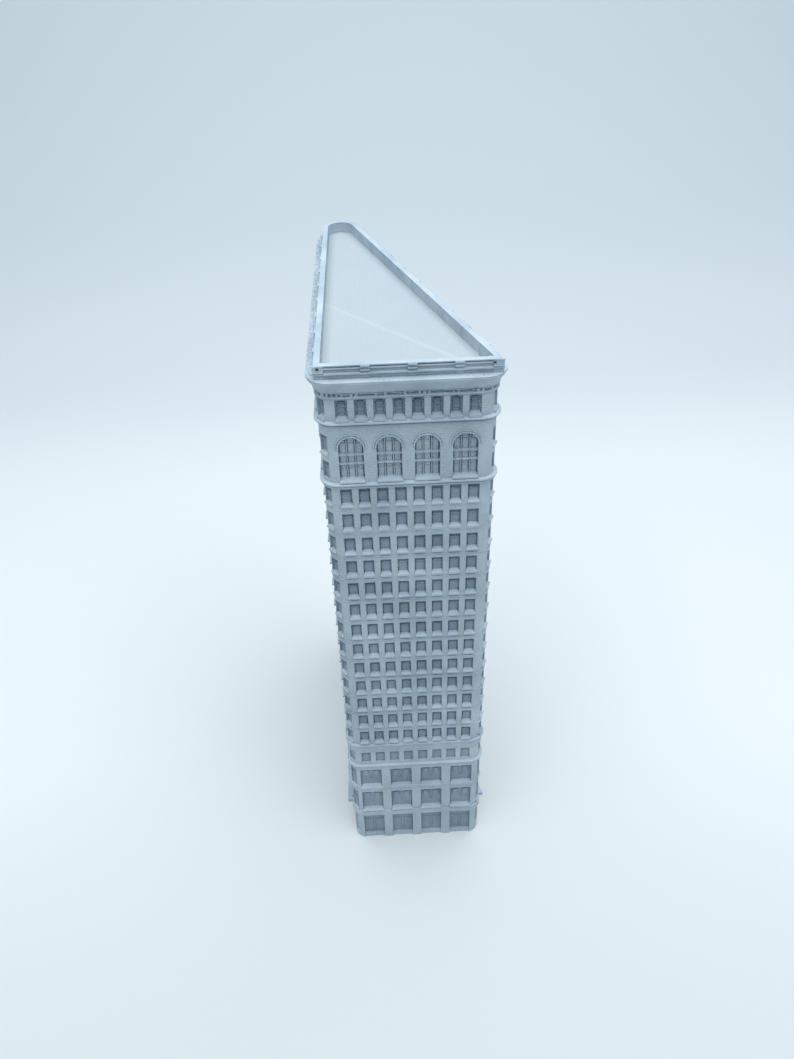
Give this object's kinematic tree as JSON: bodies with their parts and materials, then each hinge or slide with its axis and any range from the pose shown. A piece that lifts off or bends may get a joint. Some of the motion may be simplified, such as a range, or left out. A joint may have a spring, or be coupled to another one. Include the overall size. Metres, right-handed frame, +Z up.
{
  "type": "miniature landmark model",
  "caption": "Small printed display model of a triangular office tower with window rings, round-arched upper tier, deep cornice and a parapet round a flat roof.",
  "frame": {"origin": "middle of the plan's bounding box on the underside", "axes": "+X to the right along the short front, +Y back to the rounded prow, +Z up the tower"},
  "size_m": [0.0383, 0.0841, 0.15],
  "materials": {
    "tower_print": "matte, layer lines",
    "roof_print": "matte, ironed top skin"
  },
  "bodies": {
    "root": {"arcade_sill": "tower_print", "arcade_storeys": "tower_print", "attic_belt": "tower_print", "attic_storey": "tower_print", "base_belt": "tower_print", "coping_front": "tower_print", "coping_left": "tower_print", "coping_prow": "tower_print", "coping_right": "tower_print", "cornice": "tower_print", "dentil_band": "tower_print", "fourth_storey": "tower_print", "front_posts": "tower_print", "ground_ledge": "tower_print", "ground_storey": "tower_print", "left_corner_post": "tower_print", "left_flank_ledge": "tower_print", "left_posts": "tower_print", "parapet_front": "tower_print", "parapet_left": "tower_print", "parapet_prow": "tower_print", "parapet_right": "tower_print", "prow_ledge": "tower_print", "right_corner_post": "tower_print", "right_flank_ledge": "tower_print", "right_posts": "tower_print", "roof_deck": "roof_print", "second_storey": "tower_print", "shaft_belt": "tower_print", "storey_05": "tower_print", "storey_06": "tower_print", "storey_07": "tower_print", "storey_08": "tower_print", "storey_09": "tower_print", "storey_10": "tower_print", "storey_11": "tower_print", "storey_12": "tower_print", "storey_13": "tower_print", "storey_14": "tower_print", "storey_15": "tower_print", "storey_16": "tower_print", "storey_17": "tower_print", "third_storey": "tower_print"}
  },
  "joints": []
}
